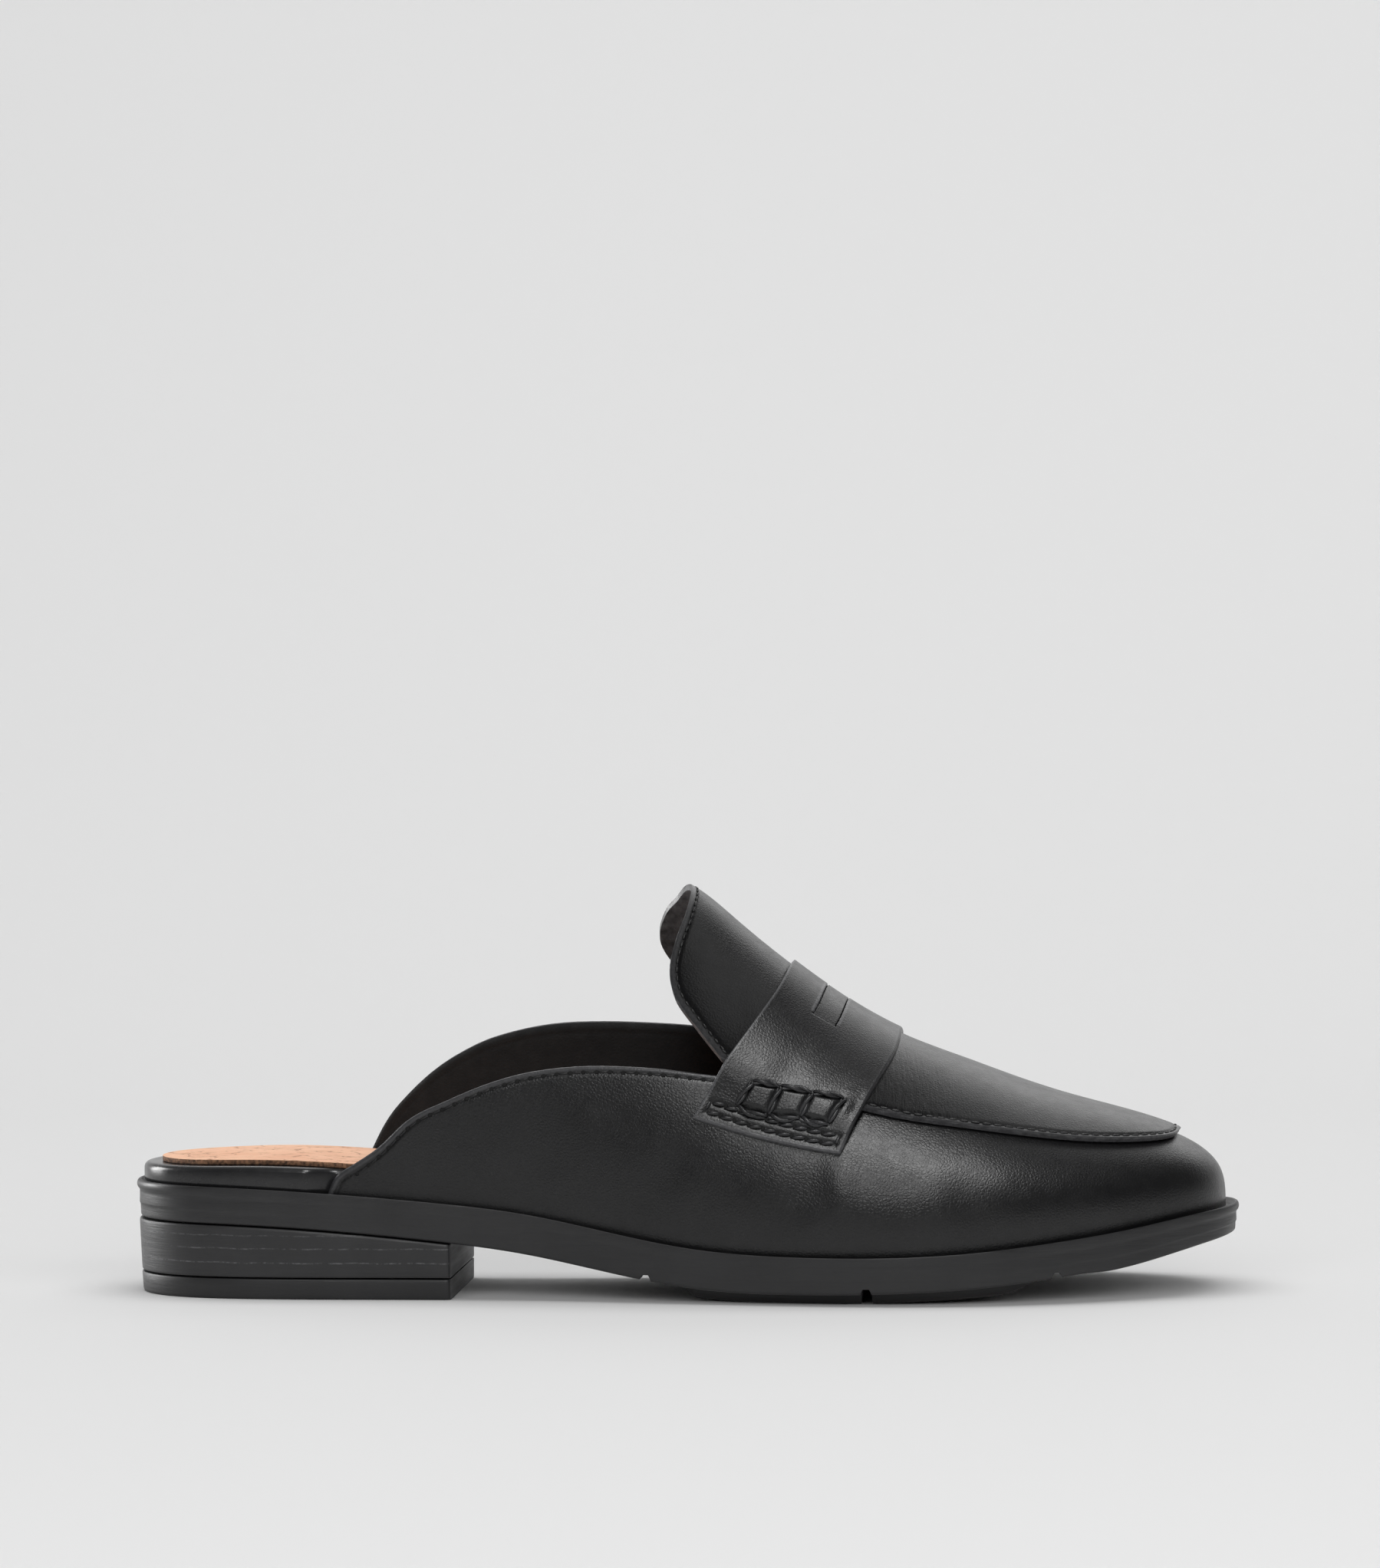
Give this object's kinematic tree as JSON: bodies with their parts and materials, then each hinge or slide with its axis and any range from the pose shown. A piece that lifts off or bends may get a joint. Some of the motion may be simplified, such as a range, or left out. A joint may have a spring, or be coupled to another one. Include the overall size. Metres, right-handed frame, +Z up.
{
  "type": "backless penny loafer",
  "caption": "Backless slip-on loafer with a standing tongue, a slotted saddle strap, a raised apron seam, a moulded sole and a low stacked heel.",
  "frame": {"origin": "centre of the bounding box on the floor, under the sole", "axes": "+X towards the toe, +Y towards the inner (big toe) side, +Z up from the floor that heel and forefoot stand on"},
  "size_m": [0.265, 0.0874, 0.0972],
  "materials": {
    "sole_rubber": "moulded, satin",
    "stacked_heel": "moulded as stacked layers, satin",
    "top_piece_rubber": "moulded, satin",
    "wrapped_leather": "polished wrap",
    "tan_sock_leather": "unglazed smooth tan",
    "black_leather": "smooth, semi-gloss",
    "apron_leather": "smooth, semi-gloss",
    "strap_leather": "smooth, semi-gloss"
  },
  "bodies": {
    "root": {"outsole": "sole_rubber", "heel_block": "stacked_heel", "top_piece": "top_piece_rubber", "footbed": "wrapped_leather", "insole_sock": "tan_sock_leather", "upper": "black_leather", "apron_tongue": "apron_leather", "strap": "strap_leather"}
  },
  "joints": []
}
